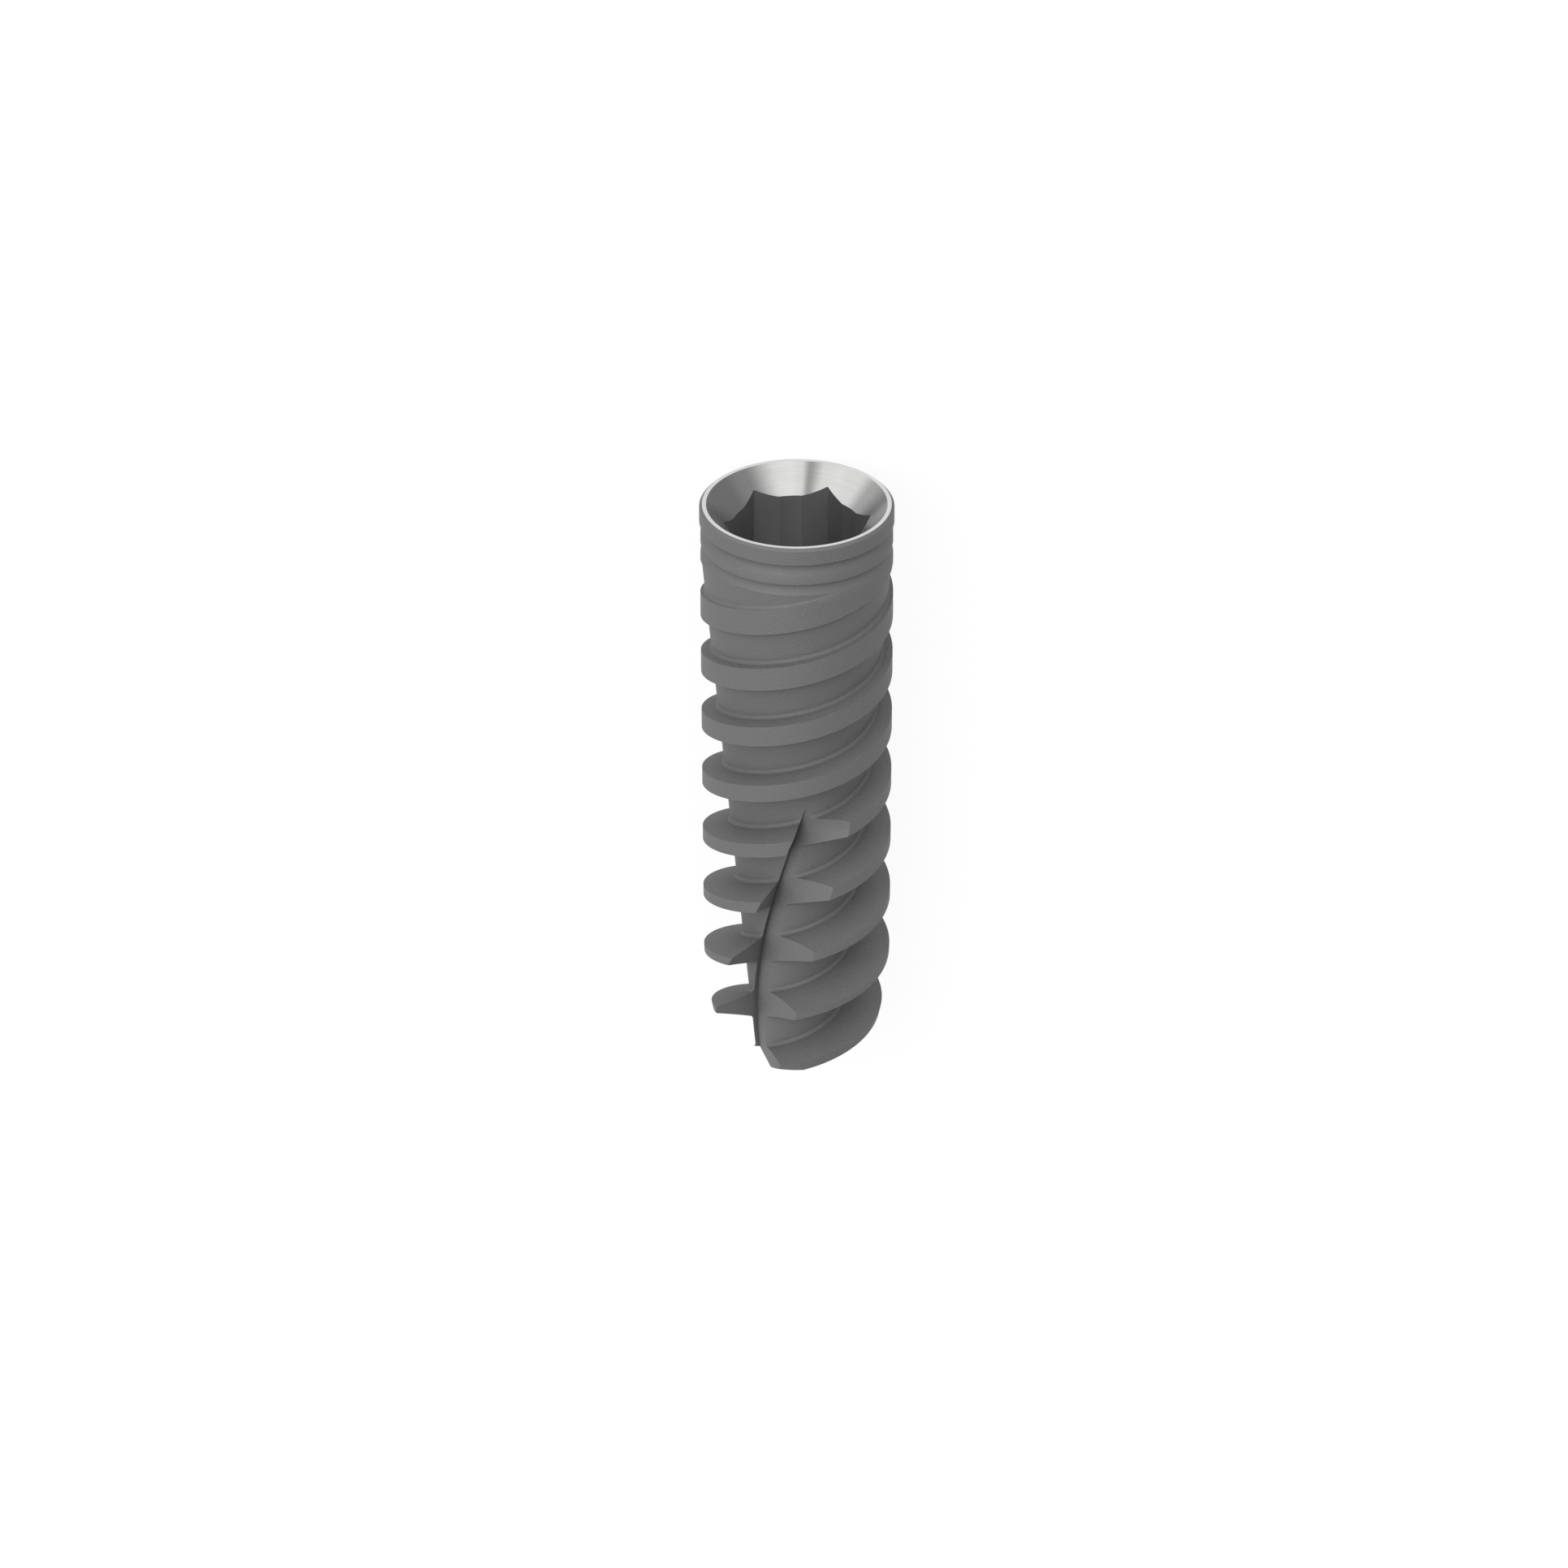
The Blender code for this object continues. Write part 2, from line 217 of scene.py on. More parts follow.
class ImplantSocket(bpy.types.PropertyGroup):
    """Sizes of the hexagonal socket and of the tapped bore under it."""

    across_flats: length("Across flats", "Width of the driver hexagon", 2.5 * MM)
    depth: length("Depth", "Depth of the hexagon", 2.2 * MM)
    corner_angle: angle("Corner angle", "Angle round the axis of the first corner", 5.4)
    relief: length("Relief", "Depth of the round relief in the middle of each flat", 0.02 * MM)
    relief_depth: length("Relief depth", "Depth down to which the relief runs", 1.7 * MM)
    bore_diameter: length("Bore", "Tapping size of the screw bore", 1.5 * MM)
    bore_depth: length("Bore depth", "Depth of the screw bore", 6.2 * MM)
    countersink: length("Countersink", "Width of the cone round the bore's mouth", 0.25 * MM)
    drill_point: angle("Drill point", "Angle of the cone at the bore's end", 118)
    tap_diameter: length("Tap diameter", "Outer diameter of the screw thread in the bore", 1.8 * MM)
    tap_pitch: length("Tap pitch", "Pitch of the screw thread in the bore", 0.35 * MM)
    tap_depth: length("Tap depth", "Depth down to which the bore is tapped", 5.6 * MM)
    sides: count("Sides", "Steps in one turn of the socket and the bore", 192)
    tap_sides: count("Tap sides", "Steps in one turn of the tap", 72)


class ImplantFinish(bpy.types.PropertyGroup):
    """Colours and textures of the metal."""

    blasted: colour(
        "Blasted titanium", "Colour of the grit-blasted outside", (0.183, 0.183, 0.185, 1.0)
    )
    satin: colour("Satin titanium", "Colour of the turned lead-in cone", (0.68, 0.675, 0.67, 1.0))
    rim: colour("Rim titanium", "Colour of the finely turned rim", (0.68, 0.68, 0.68, 1.0))
    milled: colour("Milled titanium", "Colour of the socket's walls", (0.46, 0.46, 0.465, 1.0))
    blasted_metallic: share(
        "Blasted metallic", "How much the dull outside still mirrors as metal", 0.25
    )
    blasted_roughness: share("Blasted roughness", "Roughness of the outside", 0.65)
    grain_width: length("Grain width", "Size of the blasted dimples along the axis", 0.03 * MM)
    grain_length: length("Grain length", "Size of the blasted dimples round the axis", 0.04 * MM)
    grain_depth: length("Grain depth", "Depth of the blasted dimples", 0.013 * MM)
    # Painted shade, not left by the etching: the outside's colour darkens in recesses and sharp
    # inner corners
    painted_shade_recess_reach: length(
        "Recess reach", "Width of a recess that the etching leaves darker", 0.6 * MM
    )
    painted_recess_shade: share("Recess shade", "Brightness left in the deepest recess", 0.6)
    painted_shade_corner_reach: length(
        "Corner reach", "Width of the darker line in a sharp inner corner", 0.15 * MM
    )
    painted_corner_shade: share("Corner shade", "Brightness left in a sharp inner corner", 0.5)
    turning_pitch: length(
        "Turning pitch", "Distance between the turning lines on the cone", 0.02 * MM
    )
    turning_depth: length("Turning depth", "Depth of the turning lines", 0.0006 * MM)
    satin_roughness: share("Satin roughness", "Roughness of the rim and cone", 0.28)
    milled_roughness: share("Milled roughness", "Roughness of the socket's walls", 0.43)


class ImplantStudio(bpy.types.PropertyGroup):
    """Camera, table, lamp and room."""

    view_sine: share(
        "View sine", "Sine of the camera's angle above a side view of the implant", 0.4755
    )
    frame_width: length("Frame width", "Width of the picture, at the platform", 30.479 * MM)
    camera_distance: length("Camera distance", "From the platform to the camera", 1.2)
    platform_across: share(
        "Platform across", "Place of the platform's centre from the picture's left", 0.50815
    )
    platform_down: share(
        "Platform down", "Place of the platform's centre from the picture's top", 0.32127
    )
    table: colour("Table", "Colour of the table", (0.5, 0.5, 0.5, 1.0))
    table_radius: length("Table radius", "From the implant to the table's raised edge", 3.0)
    table_edge: length("Table edge", "Height of the table's raised edge", 0.4)
    table_white: share("Table white", "Share of plain white in what is seen of the table", 0.8)
    table_strength: bpy.props.FloatProperty(
        name="Table strength", description="Strength of that plain white", default=1.15, min=0.0
    )
    key_power: bpy.props.FloatProperty(
        name="Key lamp", description="Power of the key lamp", default=10.0, unit="POWER"
    )
    key_direction: towards(
        "Key direction", "Way from the implant to the key lamp", (0.35, 0.38, 0.85)
    )
    key_size: length("Key size", "Side of the key lamp", 1.0)
    key_distance: length("Key distance", "From the implant to the key lamp", 1.6)
    room: share("Room", "Brightness of the room, level with the middle of the implant", 0.63)
    room_direction: towards("Room direction", "Side on which the room is lightest", (1.0, 0.3, 0.1))
    room_slope: share("Room slope", "How much lighter the room is there than in its middle", 0.9)


def new_object(name, mesh):
    obj = bpy.data.objects.new(name, mesh)
    bpy.context.scene.collection.objects.link(obj)
    return obj


def finished(name, form):
    """Turns a bmesh into an object, its faces pointing out."""
    bmesh.ops.recalc_face_normals(form, faces=form.faces)
    mesh = bpy.data.meshes.new(name)
    form.to_mesh(mesh)
    form.free()
    return new_object(name, mesh)


def direction(turned_by):
    """Unit vector out from the Z axis, at an angle round it."""
    return Vector((math.cos(turned_by), math.sin(turned_by), 0))


def chain(form, points):
    """Joins points by edges, in their order."""
    verts = [form.verts.new(point) for point in points]
    edges = [form.edges.new(pair) for pair in zip(verts, verts[1:])]
    return verts, edges


def turned(name, profile, sides, first_angle):
    """A solid of revolution about Z from (radius, depth) points, listed from top to bottom."""
    form = bmesh.new()
    across = direction(first_angle)
    points = [across * radius - Vector((0, 0, depth)) for radius, depth in profile]
    verts, edges = chain(form, points)
    bmesh.ops.spin(
        form,
        geom=verts + edges,
        axis=(0, 0, 1),
        angle=2 * math.pi,
        steps=sides,
        use_merge=True,
    )
    bmesh.ops.remove_doubles(form, verts=form.verts, dist=MERGE)
    return finished(name, form)


def arc_points(centre, radius, first, last, segments):
    """Points on an arc in the (radius, depth) plane, both ends included."""
    angles = [first + (last - first) * step / segments for step in range(segments + 1)]
    return [(centre[0] + radius * math.cos(a), centre[1] + radius * math.sin(a)) for a in angles]


def crest_radius(blank, depth):
    """Radius that the thread crests lie on, above the rounding of the tip."""
    tapered = max(0.0, depth - blank.crest_straight_to)
    return blank.crest_diameter / 2 - tapered * math.tan(blank.crest_taper)


def core_slope(blank, thread):
    """Radius that the core loses in each unit of depth."""
    tip = thread.core_tip_diameter / 2
    return (blank.crest_diameter / 2 - tip) / (blank.length - thread.core_meets_crests)


def core_radius(blank, thread, depth):
    """Radius of the tapered core between the threads."""
    return thread.core_tip_diameter / 2 + (blank.length - depth) * core_slope(blank, thread)


def neck_groove(blank, top, segments=10):
    """One groove as (radius, depth): a square undercut, then a hollow that flares out again."""
    sweep = 2 * math.atan2(blank.groove_depth, blank.groove_height)
    radius = blank.groove_height / math.sin(sweep)
    centre = (blank.crest_diameter / 2 - blank.groove_depth + radius, top)
    return arc_points(centre, radius, math.pi, math.pi - sweep, segments)


def tip_arc(blank, segments=32):
    """The rounding of the tip as (radius, depth), tangent to the tapered crests."""
    start = blank.length - blank.tip_arc_height
    radius = blank.tip_arc_radius
    centre = (
        crest_radius(blank, start) - radius * math.cos(blank.crest_taper),
        start - radius * math.sin(blank.crest_taper),
    )
    end_sine = (blank.length - blank.tip_chamfer_height - centre[1]) / radius
    return arc_points(centre, radius, blank.crest_taper, math.asin(end_sine), segments)


def rim_radius(blank):
    """Outer radius of the flat rim."""
    return blank.crest_diameter / 2 + blank.collar_step - blank.collar_chamfer


def blank_profile(blank):
    """The turned blank as (radius, depth), from the platform's centre to the tip's."""
    crest = blank.crest_diameter / 2
    collar = crest + blank.collar_step
    rim = rim_radius(blank)
    outline = [
        (0, 0),
        (rim - blank.rim_width, 0),
        (rim, 0),
        (collar, blank.collar_chamfer),
        (collar, blank.collar_height),
    ]
    top = blank.collar_height
    for _ in range(blank.grooves):
        outline += neck_groove(blank, top)
        top += blank.groove_height + blank.ring_height
        outline.append((crest, top))
    # Steps of half a ring's height down the crests keep the faces near square, for even shading
    tip_from = blank.length - blank.tip_arc_height
    steps = round((tip_from - top) / blank.ring_height * 2)
    for step in range(1, steps):
        depth = top + (tip_from - top) * step / steps
        outline.append((crest_radius(blank, depth), depth))
    outline += tip_arc(blank)
    outline += [(blank.tip_flat_diameter / 2, blank.length), (0, blank.length)]
    return outline


def rounded_corner(corner, toward_first, toward_last, radius, segments):
    """Points of a fillet at a corner of the (radius, depth) plane, between two unit directions."""
    half = toward_first.angle(toward_last) / 2
    centre = corner + (toward_first + toward_last).normalized() * radius / math.sin(half)
    first = corner + toward_first * radius / math.tan(half) - centre
    last = corner + toward_last * radius / math.tan(half) - centre
    spokes = [first.lerp(last, step / segments).normalized() for step in range(segments + 1)]
    return [centre + spoke * radius for spoke in spokes]


def thread_tooth(blank, thread, depth):
    """One thread's section as (radius, depth) points from above it to below it, its crest at depth.

    The crest stands past the blank, which cuts it to its true radius.
    """
    outer = max(
        crest_radius(blank, depth) + CREST_OVERRUN,
        core_radius(blank, thread, depth) + OVERRUN,
    )
    crest = blank.crest_diameter / 2
    half = thread.crest_width / 2 * (1 - min(depth, blank.length) / blank.length)
    slope = math.tan(thread.flank)
    taper = core_slope(blank, thread)
    outward = Vector((1, slope)).normalized()
    down_core = Vector((-taper, 1)).normalized()
    points = []
    for side in (-1, 1):
        # The corner is where the flank's line meets the core's line
        flank_at_axis = depth + side * (half + slope * crest)
        radius = core_radius(blank, thread, flank_at_axis) / (1 - side * slope * taper)
        corner = Vector((radius, flank_at_axis - side * slope * radius))
        along_flank = Vector((outward.x, -side * outward.y))
        ends = (-down_core, along_flank) if side < 0 else (along_flank, down_core)
        fillet = rounded_corner(corner, *ends, thread.root_fillet, thread.fillet_segments)
        edge = Vector((outer, depth + side * (half - slope * (outer - crest))))
        points += fillet + [edge] if side < 0 else [edge] + fillet
    return points


def sweep_start(lead, top):
    """Depth of the first crest of a swept thread, more than a turn above its top."""
    return -top - lead * 1.5


def swept_thread(name, section_at, lead, top, bottom, steps):
    """A long right-hand screw round Z, cut off flat at two heights.

    section_at gives the (radius, depth) points of one whole lead for the depth of its first crest,
    and its last point is the first point of the next turn.
    """
    turns = math.ceil((top - bottom) / lead) + 2
    start = sweep_start(lead, top)
    section = section_at(start)
    form = bmesh.new()
    place = form.verts.layers.int.new("place_in_section")
    verts, edges = chain(form, [Vector((radius, 0, -depth)) for radius, depth in section])
    for number, vert in enumerate(verts):
        vert[place] = number
    bmesh.ops.spin(
        form,
        geom=verts + edges,
        axis=(0, 0, 1),
        dvec=(0, 0, -lead / steps),
        angle=-2 * math.pi,
        steps=steps,
    )
    first_turn = form.verts[:] + form.edges[:] + form.faces[:]
    for turn in range(1, turns):
        copied = bmesh.ops.duplicate(form, geom=first_turn)["geom"]
        moved = [part for part in copied if isinstance(part, bmesh.types.BMVert)]
        bmesh.ops.translate(form, verts=moved, vec=(0, 0, -lead * turn))
    # The section changes on its way down, so each point is moved to where its own depth has it
    sections = {}
    for vert in form.verts:
        number = vert[place]
        step = round((-vert.co.z - section[number][1]) / lead * steps)
        if step not in sections:
            sections[step] = section_at(start + lead * step / steps)
        radius, depth = sections[step][number]
        vert.co = direction(-2 * math.pi * step / steps) * radius - Vector((0, 0, depth))
    bmesh.ops.remove_doubles(form, verts=form.verts, dist=MERGE)
    for height, outward in ((top, 1), (bottom, -1)):
        cut_off = bmesh.ops.bisect_plane(
            form,
            geom=form.verts[:] + form.edges[:] + form.faces[:],
            plane_co=(0, 0, height),
            plane_no=(0, 0, outward),
            clear_outer=True,
        )
        rim = [part for part in cut_off["geom_cut"] if isinstance(part, bmesh.types.BMEdge)]
        bmesh.ops.edgeloop_fill(form, edges=rim)
    return finished(name, form)


def outer_thread(blank, thread):
    """The screw form that the blank is cut down to."""
    pitch = thread.lead / thread.starts

    def section_at(depth):
        points = []
        for start in range(thread.starts):
            points += thread_tooth(blank, thread, depth + start * pitch)
        return points + [thread_tooth(blank, thread, depth + thread.lead)[0]]

    # A turn starts at angle 0, so that is how far it has come down at the crest angle
    turned_back = thread.crest_angle / (2 * math.pi) * thread.lead
    top = OVERRUN
    bottom = -blank.length - OVERRUN
    # Whole pitches make no difference, so only the rest of the shift is kept
    offset = (thread.crest_depth + turned_back - sweep_start(thread.lead, top)) % pitch

    def shifted(depth):
        return section_at(depth + offset)

    return swept_thread("outer_thread", shifted, thread.lead, top, bottom, blank.sides)


def through_three(first, middle, last, part):
    """Value at a part of the way on the parabola through three evenly spaced values."""
    return (
        first * (1 - part) * (1 - 2 * part)
        + 4 * middle * part * (1 - part)
        + last * part * (2 * part - 1)
    )


def flute(blank, thread, flutes, number):
    """The solid that one flute takes away, extruded section by section down past the tip."""
    start = blank.length - flutes.height
    reach = blank.crest_diameter * WALL_REACH
    start_core = core_radius(blank, thread, start)
    top = start - (crest_radius(blank, start) - start_core) - OVERRUN
    bottom = blank.length + OVERRUN
    turn = Matrix.Rotation(number * 2 * math.pi / flutes.number, 3, "Z")
    # Short steps along both walls, because a wall winds as it goes down
    steps = [step / flutes.steps for step in range(flutes.steps + 1)]

    def at(place, depth):
        """Way from the axis that the properties of this place give at a depth."""
        stations = [getattr(flutes, f"{place}_{name}") for name in ("start", "middle", "end")]
        return direction(through_three(*stations, max(0.0, (depth - start) / flutes.height)))

    def section(depth):
        # The bottom comes in at 45 degrees down to the core, and then goes down into it gently
        slope = flutes.run_in if depth > start else 1.0
        radius = max(
            core_radius(blank, thread, depth) - flutes.below_core,
            start_core + (start - depth) * slope,
        )
        low = at("bottom", depth) * radius
        cutting = reach * at("cutting", depth)
        back = reach * at("back", depth)
        cutting_wall = [low + cutting * step for step in steps]
        back_wall = [low + back * step for step in reversed(steps)]
        points = cutting_wall + [low + cutting + back] + back_wall[:-1]
        return [turn @ point - Vector((0, 0, depth)) for point in points]

    form = bmesh.new()
    corner = form.verts.layers.int.new("corner")
    face = form.faces.new([form.verts.new(point) for point in section(top)])
    for place, vert in enumerate(face.verts):
        vert[corner] = place
    for step in range(1, flutes.sections + 1):
        grown = bmesh.ops.extrude_face_region(form, geom=[face, *face.edges])
        face = next(part for part in grown["geom"] if isinstance(part, bmesh.types.BMFace))
        points = section(top + (bottom - top) * step / flutes.sections)
        for vert in face.verts:
            vert.co = points[vert[corner]]
    return finished(f"flute_{number + 1}", form)


def socket_profile(blank, socket):
    """Lead-in, round relief and screw bore as (radius, depth), from top to bottom."""
    lead_in = rim_radius(blank) - blank.rim_width
    relief = socket.across_flats / 2 + socket.relief
    bore = socket.bore_diameter / 2
    countersink = bore + socket.countersink
    return [
        (0, -OVERRUN),
        (lead_in + OVERRUN, -OVERRUN),
        (relief, lead_in - relief),
        (relief, socket.relief_depth),
        (countersink, socket.relief_depth + relief - countersink),
        (countersink, socket.depth),
        (bore, socket.depth + socket.countersink),
        (bore, socket.bore_depth),
        (0, socket.bore_depth + bore / math.tan(socket.drill_point / 2)),
    ]


def hexagon(socket):
    """The driver hexagon, from above the platform to the socket's floor."""
    form = bmesh.new()
    height = socket.depth + OVERRUN
    radius = socket.across_flats / 2 / math.cos(math.pi / 6)
    bmesh.ops.create_cone(
        form, cap_ends=True, segments=6, radius1=radius, radius2=radius, depth=height
    )
    # The primitive's first corner lies on Y
    bmesh.ops.rotate(
        form,
        verts=form.verts,
        matrix=Matrix.Rotation(socket.corner_angle - math.pi / 2, 3, "Z"),
    )
    bmesh.ops.translate(form, verts=form.verts, vec=(0, 0, OVERRUN - height / 2))
    return finished("hexagon", form)


def tap(socket):
    """The fine screw thread that is cut into the bore."""
    outer = socket.tap_diameter / 2
    inner = socket.bore_diameter / 2 - SLIGHT_OVERRUN
    # A crest is an eighth of the pitch wide, and its two sides take up the rest
    crest = socket.tap_pitch / 16
    flank = socket.tap_pitch * 7 / 16

    def section_at(depth):
        return [
            (inner, depth - crest - flank),
            (outer, depth - crest),
            (outer, depth + crest),
            (inner, depth + crest + flank),
        ]

    def closed(depth):
        return section_at(depth) + [section_at(depth + socket.tap_pitch)[0]]

    top = -socket.depth - socket.countersink / 2
    return swept_thread("tap", closed, socket.tap_pitch, top, -socket.tap_depth, socket.tap_sides)


def cut(body, operation, other):
    """Cuts the body by another solid, which is used up."""
    modifier = body.modifiers.new(other.name, "BOOLEAN")
    modifier.operation = operation
    modifier.solver = "MANIFOLD"
    modifier.object = other
    graph = bpy.context.evaluated_depsgraph_get()
    mesh = bpy.data.meshes.new_from_object(body.evaluated_get(graph))
    body.modifiers.clear()
    body.data = mesh
    bpy.data.objects.remove(other)


def lay_down(mesh):
    """Turns the upright mesh onto its side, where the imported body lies."""
    onto_side = Matrix(((0, 0, 1), (-1, 0, 0), (0, -1, 0))).to_4x4()
    mesh.transform(Matrix.Translation(PLATFORM) @ onto_side)


class Wire:
    """One output of a shader node. Sums and products of values add their Math nodes."""

    def __init__(self, tree, socket=None):
        self.tree = tree
        self.socket = socket

    def node(self, kind, settings, inputs, output=0):
        """Adds a node: its settings first, then its sockets' values or links. Returns an output."""
        node = self.tree.nodes.new(kind)
        for name, value in settings.items():
            if name == "stops":
                fill_ramp(node.color_ramp, value)
            else:
                setattr(node, name, value)
        for key, value in inputs.items():
            if isinstance(value, Wire):
                self.tree.links.new(value.socket, node.inputs[key])
            else:
                node.inputs[key].default_value = value
        return Wire(self.tree, node.outputs[output]) if node.outputs else None

    def maths(self, operation, first, second):
        return self.node("ShaderNodeMath", {"operation": operation}, {0: first, 1: second})

    def __add__(self, other):
        return self.maths("ADD", self, other)

    def __radd__(self, other):
        return self.maths("ADD", other, self)

    def __mul__(self, other):
        return self.maths("MULTIPLY", self, other)

    def __rmul__(self, other):
        return self.maths("MULTIPLY", other, self)


def fill_ramp(ramp, stops):
    """Gives a colour ramp its (position, grey) stops, with soft steps between them."""
    ramp.interpolation = "EASE"
    while len(ramp.elements) < len(stops):
        ramp.elements.new(0.5)
    for element, (position, grey) in zip(ramp.elements, stops):
        element.position = position
        element.color = (grey, grey, grey, 1.0)


def new_material(name):
    """A material with an empty node tree, and the wire that starts it."""
    material = bpy.data.materials.new(name)
    material.use_nodes = True
    material.node_tree.nodes.clear()
    return material, Wire(material.node_tree)


def surface(start, shader):
    """Ends a material in a shader."""
    start.node("ShaderNodeOutputMaterial", {}, {"Surface": shader})


def principled(start, inputs):
    """Ends a material in one Principled shader."""
    surface(start, start.node("ShaderNodeBsdfPrincipled", {}, inputs))


def object_place(start):
    return start.node("ShaderNodeTexCoord", {}, {}, "Object")


def scaled(start, vector, scale):
    """A vector times a scale along each axis."""
    return start.node("ShaderNodeVectorMath", {"operation": "MULTIPLY"}, {0: vector, 1: scale})


def noise(start, vector, detail=2.0, roughness=0.5):
    inputs = {"Vector": vector, "Scale": 1.0, "Detail": detail, "Roughness": roughness}
    return start.node("ShaderNodeTexNoise", {}, inputs)


def bump(start, height, distance):
    """Normal of a surface that stands up by a height of 0 to 1 times a distance."""
    inputs = {"Strength": 1.0, "Distance": distance, "Height": height}
    return start.node("ShaderNodeBump", {}, inputs)


def spread(start, value, source, target):
    """Moves a value from one range to another, and holds it at the ends."""
    inputs = {
        "Value": value,
        "From Min": source[0],
        "From Max": source[1],
        "To Min": target[0],
        "To Max": target[1],
    }
    return start.node("ShaderNodeMapRange", {}, inputs)


def painted_shade_inside(start, reach, darkest):
    """Painted shade: a grey value that falls to the darkest in recesses as narrow as the reach."""
    settings = {"samples": 6}
    openness = start.node("ShaderNodeAmbientOcclusion", settings, {"Distance": reach}, "AO")
    return spread(start, openness, (0.3, 1.0), (darkest, 1.0))


def shaded_colour(start, base, shade):
    """A colour times a grey value."""
    mix = {"data_type": "RGBA", "blend_type": "MULTIPLY"}
    return start.node("ShaderNodeMix", mix, {"Factor": 1.0, "A": base, "B": shade}, "Result")


def blasted_titanium(finish):
    """Grit-blasted and etched metal: a fine dimpled grain, drawn out round the axis, and painted
    shade.
    """
    material, start = new_material("blasted_titanium")
    place = object_place(start)
    across = 1 / finish.grain_width
    along = 1 / finish.grain_length
    dimples = noise(start, scaled(start, place, (across, along, along)), 1.5)
    blotches = noise(start, scaled(start, place, (across / 3, along / 2, along / 2)), 1.0)
    grain = dimples * 0.7 + blotches * 0.3
    shade = spread(start, grain, NOISE_RANGE, (0.96, 1.04))
    # Painted shade: the colour darkens in recesses and sharp inner corners, where shade falls
    shade = shade * painted_shade_inside(start, finish.painted_shade_recess_reach, finish.painted_recess_shade)
    shade = shade * painted_shade_inside(start, finish.painted_shade_corner_reach, finish.painted_corner_shade)
    principled(start, {
        "Base Color": shaded_colour(start, finish.blasted[:], shade),
        "Metallic": finish.blasted_metallic,
        "Roughness": finish.blasted_roughness,
        "Normal": bump(start, grain, finish.grain_depth),
    })
    return material


def painted_sheen_stops():
    """Painted sheen of the turned cone, as (share of a turn from its highest line, grey) stops.

    It is listed by the degrees from the cone's lowest line, which are positive towards -Y.
    """
    painted_sheen = (
        (-180, 0.9), (-112, 0.5), (-88, 0.18), (-58, 0.22), (-38, 0.33), (-12, 1.0), (-6, 1.0),
        (3, 0.88), (9, 0.4), (20, 0.86), (34, 1.0), (46, 1.0), (61, 0.55), (82, 0.26), (95, 0.52),
        (108, 0.68), (180, 0.9),
    )
    return [(degrees / 360 + 0.5, grey) for degrees, grey in painted_sheen]


def turned_titanium(name, finish, tint, painted_sheen):
    """Bare turned metal with fine lines round the axis, and on the cone painted sheen in sectors.
    """
    material, start = new_material(name)
    place = object_place(start)
    fine = 1 / finish.turning_pitch
    lines = noise(start, scaled(start, place, (fine, fine / 60, fine / 60)), 3.0, 0.7)
    metal = shaded_colour(start, tint[:], spread(start, lines, NOISE_RANGE, (0.94, 1.04)))
    # Painted sheen: sectors round the axis make the cone's colour lighter and darker, standing in
    # for its reflections
    if painted_sheen:
        from_middle = {"operation": "SUBTRACT"}
        centred = start.node("ShaderNodeVectorMath", from_middle, {0: place, 1: BODY_MIDDLE})
        left = start.node("ShaderNodeSeparateXYZ", {}, {"Vector": centred}, "Y")
        up = start.node("ShaderNodeSeparateXYZ", {}, {"Vector": centred}, "Z")
        turn = start.maths("ARCTAN2", left * -1.0, up * -1.0) * (0.5 / math.pi) + 0.5
        painted_sheen_sectors = start.node("ShaderNodeValToRGB", {"stops": painted_sheen_stops()}, {"Fac": turn})
        metal = shaded_colour(start, metal, painted_sheen_sectors)
    roughness = finish.satin_roughness
    principled(start, {
        "Base Color": metal,
        "Metallic": 1.0,
        "Roughness": spread(start, lines, NOISE_RANGE, (roughness - 0.04, roughness + 0.04)),
        "Normal": bump(start, lines, finish.turning_depth),
    })
    return material


def milled_titanium(finish):
    """Broached socket walls: fine lines along the axis."""
    material, start = new_material("milled_titanium")
    fine = 1 / finish.turning_pitch
    lines = noise(start, scaled(start, object_place(start), (fine / 80, fine, fine)), 2.0, 0.6)
    shade = spread(start, lines, NOISE_RANGE, (0.95, 1.04))
    principled(start, {
        "Base Color": shaded_colour(start, finish.milled[:], shade),
        "Metallic": 1.0,
        "Roughness": finish.milled_roughness,
        "Normal": bump(start, lines, finish.turning_depth),
    })
    return material


def give_finish(body, blank, socket, finish):
    """Blasted metal outside, turned on the rim and cone, and milled in the socket and bore."""
    # The cuts leave an empty slot behind
    body.data.materials.clear()
    for material in (
        blasted_titanium(finish),
        turned_titanium("satin_titanium", finish, finish.satin, painted_sheen=True),
        turned_titanium("rim_titanium", finish, finish.rim, painted_sheen=False),
        milled_titanium(finish),
    ):
        body.data.materials.append(material)
    outside, cone, rim, socket_walls = range(4)
    lead_in = rim_radius(blank) - blank.rim_width
    flat = socket.across_flats / 2
    for face in body.data.polygons:
        radius = math.hypot(face.center.x, face.center.y)
        depth = -face.center.z
        if depth < lead_in - flat:
            hollow = lead_in - depth + SLIGHT_OVERRUN
        elif depth < socket.depth + MERGE:
            hollow = flat / math.cos(math.pi / 6)
        elif depth < socket.bore_depth + socket.bore_diameter / 2:
            hollow = socket.tap_diameter / 2 + OVERRUN
        else:
            hollow = 0.0
        if depth < MERGE:
            face.material_index = rim
        elif abs(radius + depth - lead_in) < CONE_REACH:
            face.material_index = cone
        elif radius < hollow + MERGE:
            face.material_index = socket_walls
        else:
            face.material_index = outside


